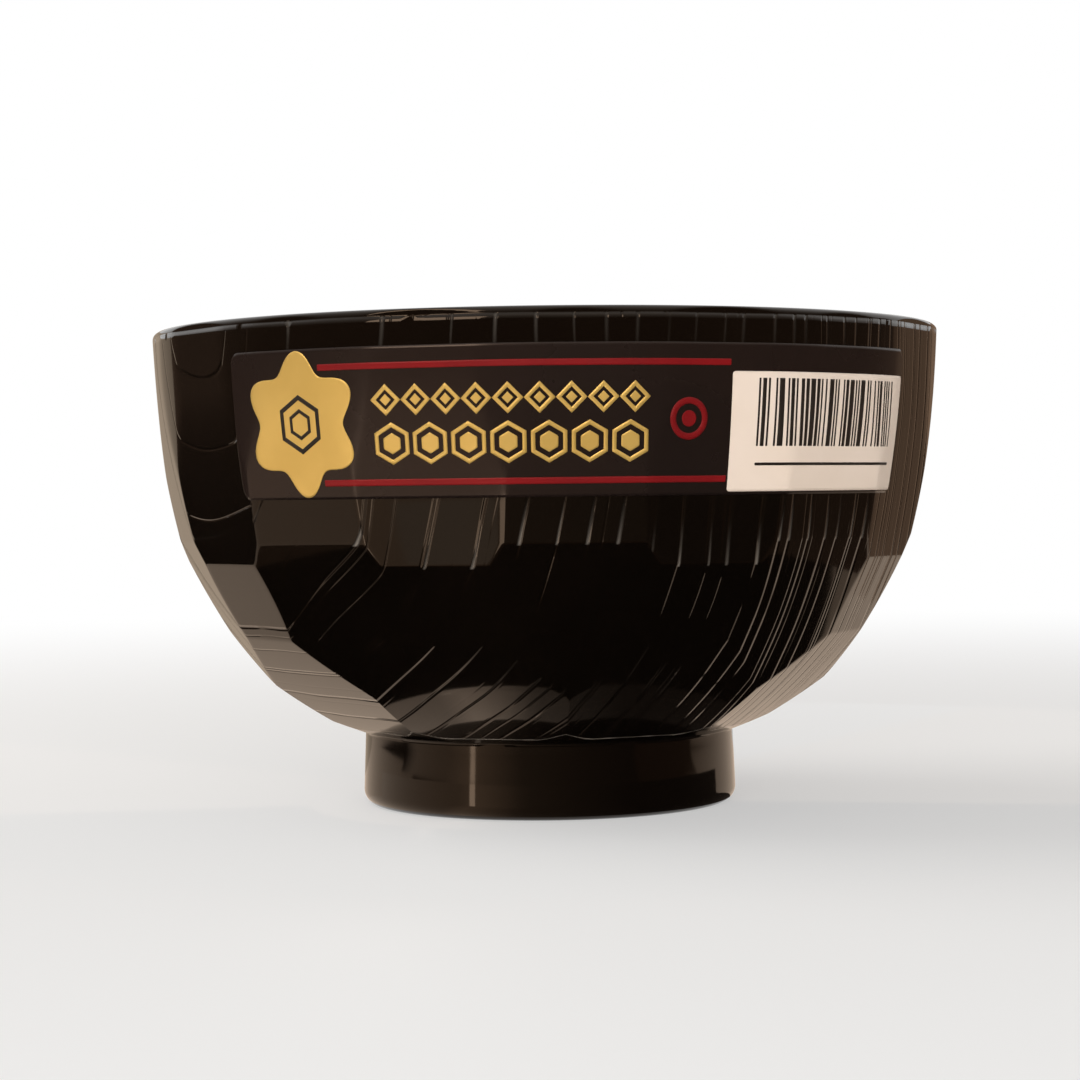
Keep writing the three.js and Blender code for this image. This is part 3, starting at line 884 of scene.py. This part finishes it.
# How far a card has gone from its first colour to its last, at its start and at its stop in each direction.
def cardShares(name, directions, lastColour, v):
    shares = np.stack((0 * directions, 0 * directions + 1))
    if lastColour == "sheen":
        turned = directions if name == "sheen" else np.maximum(directions * v["nearTurn"], v["nearEnd"])
        shares[:] = sharesAt(turned, v["sheenShares"])
    if name == "frontSky":
        fromEnd = np.minimum(directions - directions[0], directions[-1] - directions)
        shares[0] = np.clip(1 - fromEnd / v["skyFade"], 0, 1)
    return shares


# A glow that goes from one colour to another by the share attribute.
def makeGlow(name, first, last):
    material = bpy.data.materials.new(name)
    material.use_nodes = True
    tree = material.node_tree
    colour = mixColours(tree, readAttribute(tree, "share"), (*first, 1), (*last, 1))
    glow = addNode(tree, "ShaderNodeEmission", {"Color": colour, "Strength": 1.0})
    tree.links.new(glow.outputs[0], tree.nodes["Material Output"].inputs["Surface"])
    return material


def makeCards(v):
    for name, (span, start, stop, *colours) in cardTable(v).items():
        glow = makeGlow(name + "Card", v["colours"][colours[0]], v["colours"][colours[-1]])
        directions = np.linspace(*span, num=49)
        twist = v["glintTwist"] if name == "glint" else 0.0
        angle = np.radians((directions, directions + twist))
        radius, height = np.array((start, stop)).T[:, :, None]
        points = aroundAxis(angle, radius, height).reshape(-1, 3).tolist()
        card = addStage(name + "Card", points, gridFaces(2, len(directions)).tolist(), glow)
        addAttribute(card, "share", cardShares(name, directions, colours[-1], v).ravel())
        card.visible_camera = False
        card.visible_diffuse = False
        card.visible_shadow = False


# Soft lamps. They light the colours only, and leave the gloss to the floor and the cards.
lamps = dict(
    front=dict(place=(0.0, -1.00, 0.26), aim=(0, 0, 0.04), size=(0.9, 0.3), power=6.9),
    left=dict(place=(-0.85, 0.25, 0.60), aim=(-0.05, 0, 0.02), size=(0.9, 0.9), power=8.0))


def addLamps(table):
    for name, v in table.items():
        data = bpy.data.lights.new(name, "AREA")
        data.shape = "RECTANGLE"
        data.size, data.size_y = v["size"]
        data.energy = v["power"]
        lamp = bpy.data.objects.new(name, data)
        scene.collection.objects.link(lamp)
        lamp.location = v["place"]
        lamp.rotation_euler = aimed(v)
        lamp.visible_glossy = False


# World: white to the camera and in reflections, and a softer fill for everything else.
worldLight = dict(colour=(1, 1, 1), seen=1.0, fill=0.35)


def makeWorld(v):
    world = bpy.data.worlds.new("studio")
    scene.world = world
    world.use_nodes = True
    tree = world.node_tree
    background = tree.nodes["Background"].inputs
    spans = {"Value": seenRays(tree), "To Min": v["fill"], "To Max": v["seen"]}
    tree.links.new(addNode(tree, "ShaderNodeMapRange", spans).outputs[0], background["Strength"])
    background["Color"].default_value = (*v["colour"], 1)


makeFloor(floorForm)
makeCards(cardForm)
addLamps(lamps)
makeWorld(worldLight)
print("stage set")
